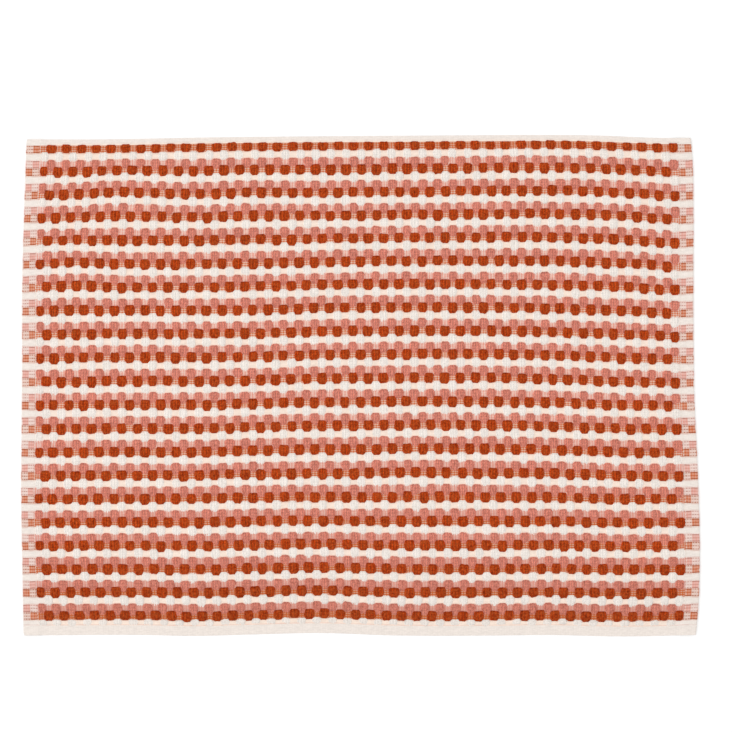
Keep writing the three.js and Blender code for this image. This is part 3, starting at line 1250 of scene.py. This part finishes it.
def thread_material(yarns):
    """Twisted sewing thread of spun polyester: smoother than the cotton round it, with slanting ridges
    where its plies turn about each other, and painted shade between them."""
    material, tree, shader = new_material("cream sewing thread", 0.7, 0.3)

    # The plies of a real thread are 0.3 mm apart. They are drawn 0.8 mm apart, so that they show.
    # A wave of scale 1 is pi / 5 long.
    place = add(tree, "ShaderNodeTexCoord").outputs["Object"]
    plies = add(
        tree,
        "ShaderNodeTexWave",
        {"Vector": place, "Scale": math.pi / 5 * fineness(PLY_SIZE), "Distortion": 0.6},
        bands_direction="DIAGONAL",
    )
    worn = add(tree, "ShaderNodeTexNoise", {"Vector": place, "Scale": fineness(WORN_SIZE), "Detail": 2.0})
    both = add(
        tree, "ShaderNodeMath", {0: plies.outputs["Fac"], 1: 0.5, 2: worn}, operation="MULTIPLY_ADD"
    )
    # Painted shade between the plies, and worn places that differ at random
    value = add(tree, "ShaderNodeMapRange", {0: both, 1: 0.3, 2: 1.2, 3: 0.82, 4: 1.06})
    colour = add(
        tree, "ShaderNodeVectorMath", {0: tuple(yarns.thread), "Scale": value}, operation="SCALE"
    )
    tree.links.new(colour.outputs[0], shader.inputs["Base Color"])
    bump = add(
        tree,
        "ShaderNodeBump",
        {"Height": plies.outputs["Fac"], "Distance": PLY_RELIEF * MM, "Strength": 0.6},
    )
    tree.links.new(bump.outputs[0], shader.inputs["Normal"])
    return material


# Operators


class TOWEL_OT_weave_ground(bpy.types.Operator):
    """Weave the flat ground with its selvedges and turned hems."""

    bl_idname = "towel.weave_ground"
    bl_label = "Weave ground"

    def execute(self, context):
        layout = context.scene.towel_layout
        mesh = ground_mesh(layout)
        ground = new_piece("ground_weave", mesh, ground_material(context.scene.towel_yarns))
        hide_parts(CLOTH_NODE)
        return {"FINISHED"}


class TOWEL_OT_sew_hems(bpy.types.Operator):
    """Sew the seams that hold the turned hems."""

    bl_idname = "towel.sew_hems"
    bl_label = "Sew hems"

    def execute(self, context):
        layout = context.scene.towel_layout
        thread = thread_material(context.scene.towel_yarns)
        tree = seam_tree()
        for side in (-1, 1):
            seed = context.scene.towel_pile.seed + SEAM_SEED + side
            mesh = seam_mesh(layout, side, seed, tree, thread)
            new_piece(mesh.name, mesh)
        bpy.data.node_groups.remove(tree)
        return {"FINISHED"}


class TOWEL_OT_raise_terry(bpy.types.Operator):
    """Raise the blocks of loops on both sides of the ground."""

    bl_idname = "towel.raise_terry"
    bl_label = "Raise terry"

    def execute(self, context):
        layout = context.scene.towel_layout
        pile = context.scene.towel_pile
        yarns = context.scene.towel_yarns
        materials = {kind: terry_material(kind, getattr(yarns, kind)) for kind in ROW_KINDS}
        tree = terry_tree()
        for side in ("face", "back"):
            for kind in ROW_KINDS:
                mesh = terry_mesh(layout, pile, tree, kind, side, materials[kind])
                new_piece(mesh.name, mesh)
        bpy.data.node_groups.remove(tree)
        return {"FINISHED"}


class TOWEL_OT_set_stage(bpy.types.Operator):
    """Set up the white floor, the soft light and the camera above."""

    bl_idname = "towel.set_stage"
    bl_label = "Set stage"

    def execute(self, context):
        stage = context.scene.towel_stage
        scene = context.scene
        scene.view_settings.view_transform = "Standard"

        half = stage.floor_size / 2
        corners = [(-half, -half, 0), (half, -half, 0), (half, half, 0), (-half, half, 0)]
        mesh = bpy.data.meshes.new("floor")
        mesh.from_pydata(corners, [], [(0, 1, 2, 3)])
        floor = new_object("floor", mesh)
        paper, _, shader = new_material("matt white paper", 1.0, 0.0)
        shader.inputs["Base Color"].default_value = (*linear("#f9f9f9"), 1)
        mesh.materials.append(paper)

        world = bpy.data.worlds.new("studio")
        world.use_nodes = True
        sky = world.node_tree.nodes["Background"]
        sky.inputs["Color"].default_value = (1, 1, 1, 1)
        sky.inputs["Strength"].default_value = stage.sky
        scene.world = world

        lamp = bpy.data.lights.new("soft box", "AREA")
        lamp.shape = "DISK"
        lamp.size = LAMP_SIZE
        lamp.energy = stage.lamp_power
        soft_box = new_object("soft box", lamp)
        soft_box.location = LAMP_PLACE
        soft_box.rotation_euler = soft_box.location.to_track_quat("Z", "Y").to_euler()

        lens = bpy.data.cameras.new("camera")
        lens.sensor_width = SENSOR_WIDTH
        lens.lens = SENSOR_WIDTH * stage.camera_height / (FRAME_PIXELS * PIXEL_LENGTH * MM)
        camera = new_object("camera", lens)
        camera.location = (FRAME_MIDDLE[0] * MM, FRAME_MIDDLE[1] * MM, stage.camera_height)
        scene.camera = camera
        return {"FINISHED"}


class TOWEL_PT_panel(bpy.types.Panel):
    """The towel's settings and operators."""

    bl_label = "Tea towel"
    bl_idname = "TOWEL_PT_panel"
    bl_space_type = "VIEW_3D"
    bl_region_type = "UI"
    bl_category = "Tea towel"

    def draw(self, context):
        for group, settings in GROUPS.items():
            box = self.layout.box()
            for name in settings.__annotations__:
                box.prop(getattr(context.scene, group), name)
        for operator in OPERATORS:
            self.layout.operator(operator.bl_idname)


GROUPS = {
    "towel_layout": TowelLayout,
    "towel_pile": TowelPile,
    "towel_yarns": TowelYarns,
    "towel_stage": TowelStage,
}
OPERATORS = (TOWEL_OT_weave_ground, TOWEL_OT_sew_hems, TOWEL_OT_raise_terry, TOWEL_OT_set_stage)
CLASSES = (*GROUPS.values(), *OPERATORS, TOWEL_PT_panel)


def register():
    for item in CLASSES:
        bpy.utils.register_class(item)
    for name, group in GROUPS.items():
        setattr(bpy.types.Scene, name, PointerProperty(type=group))


def unregister():
    for name in GROUPS:
        delattr(bpy.types.Scene, name)
    for item in reversed(CLASSES):
        bpy.utils.unregister_class(item)


def main():
    register()
    bpy.ops.towel.weave_ground()
    bpy.ops.towel.sew_hems()
    bpy.ops.towel.raise_terry()
    bpy.ops.towel.set_stage()


if __name__ == "__main__":
    main()
